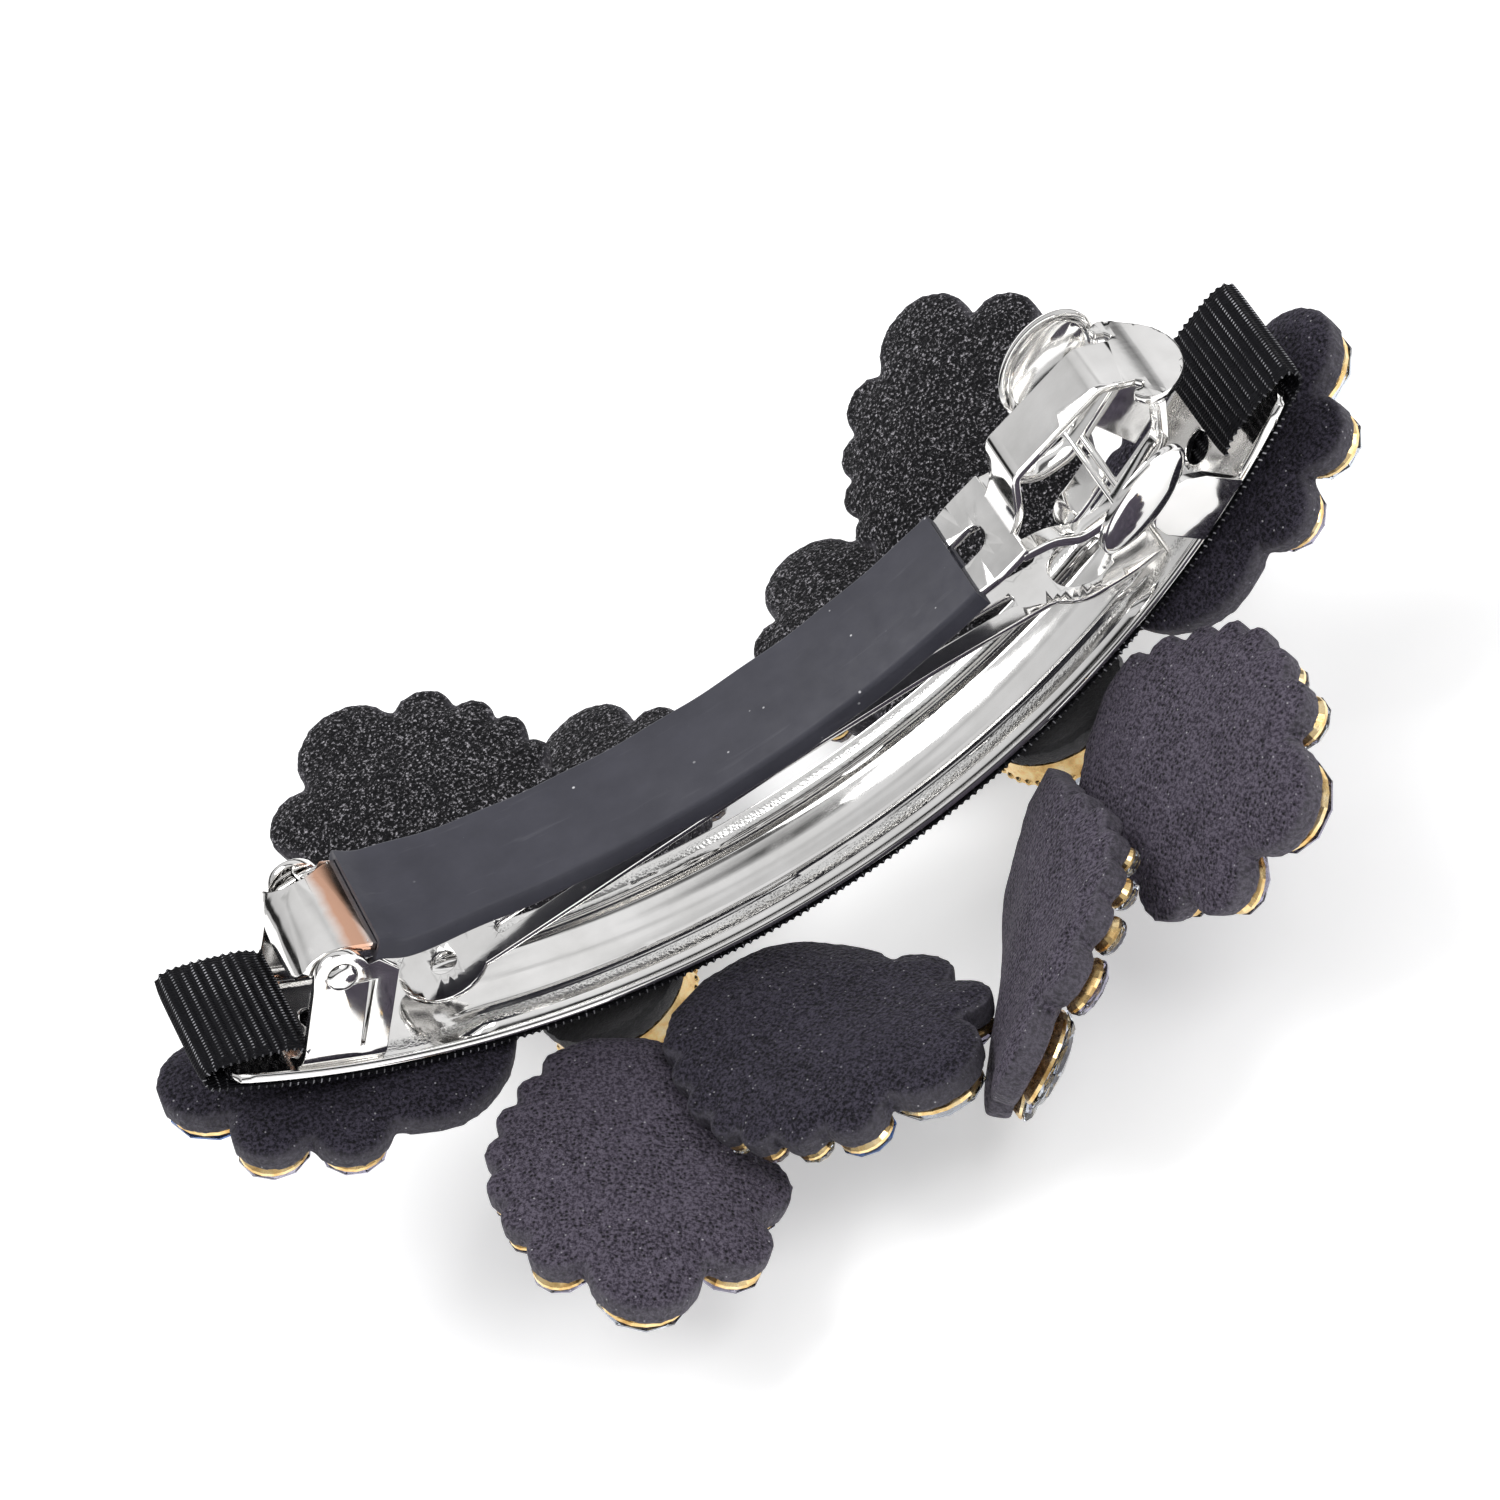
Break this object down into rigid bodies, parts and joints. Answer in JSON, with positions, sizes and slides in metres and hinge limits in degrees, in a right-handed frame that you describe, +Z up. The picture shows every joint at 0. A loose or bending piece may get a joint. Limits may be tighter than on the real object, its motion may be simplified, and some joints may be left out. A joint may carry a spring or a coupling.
{
  "type": "barrette hair clip",
  "caption": "Arched auto-clasp barrette with hinged rubber-sleeved arm, sprung tension bar and squeeze catch, trimmed with ribbon and padded fabric flowers set with stones.",
  "frame": {"origin": "on the resting plane under the middle of the whole object", "axes": "+X along the barrette from the hinge end to the catch end, +Z up out of the clasp side, the stones face down"},
  "size_m": [0.0881, 0.0611, 0.0312],
  "materials": {
    "plated_steel": "bright nickel plate",
    "rubber_sleeve": "matte",
    "ribbon": "ribbed grosgrain",
    "petal_cloth": "brushed suede knit over foam",
    "felt": "felt",
    "gilt_metal": "gilt",
    "crystal": "faceted, gold foiled back"
  },
  "bodies": {
    "base": {"base_plate": "plated_steel", "hinge_pin": "plated_steel", "grosgrain_ribbon": "ribbon", "petal_right_1": "petal_cloth", "petal_right_2": "petal_cloth", "petal_right_3": "petal_cloth", "petal_right_4": "petal_cloth", "petal_right_5": "petal_cloth", "petal_left_1": "petal_cloth", "petal_left_2": "petal_cloth", "petal_left_3": "petal_cloth", "petal_left_4": "petal_cloth", "petal_left_5": "petal_cloth", "stones_right_1": "crystal", "stones_right_2": "crystal", "stones_right_3": "crystal", "stones_right_4": "crystal", "stones_right_5": "crystal", "stones_left_1": "crystal", "stones_left_2": "crystal", "stones_left_3": "crystal", "stones_left_4": "crystal", "stones_left_5": "crystal", "felt_disc_right": "felt", "felt_disc_left": "felt", "centre_cup_right": "gilt_metal", "centre_cup_left": "gilt_metal", "centre_stones_right": "crystal", "centre_stones_left": "crystal"},
    "arm": {"clasp_arm": "plated_steel", "arm_sleeve": "rubber_sleeve"},
    "bar": {"tension_bar": "plated_steel"},
    "wing_near": {"catch_wing_near": "plated_steel"},
    "wing_far": {"catch_wing_far": "plated_steel"}
  },
  "joints": [
    {"name": "arm_hinge", "type": "hinge", "parent": "base", "child": "arm", "pos_m": [-0.0295, 0, 0.02683], "axis": [0, -1, 0], "range_deg": [0, 100]},
    {"name": "bar_flex", "type": "hinge", "parent": "base", "child": "bar", "pos_m": [0.027, 0, 0.0175], "axis": [0, 1, 0], "range_deg": [-1, 0], "stiffness_Nm_per_rad": 0.5},
    {"name": "wing_near_squeeze", "type": "hinge", "parent": "base", "child": "wing_near", "pos_m": [0.03215, -0.00505, 0.01984], "axis": [-0.8443, 0, -0.5358], "range_deg": [0, 8], "stiffness_Nm_per_rad": 0.25},
    {"name": "wing_far_squeeze", "type": "hinge", "parent": "base", "child": "wing_far", "pos_m": [0.03215, 0.00505, 0.01984], "axis": [0.8443, 0, 0.5358], "range_deg": [0, 8], "stiffness_Nm_per_rad": 0.25}
  ]
}
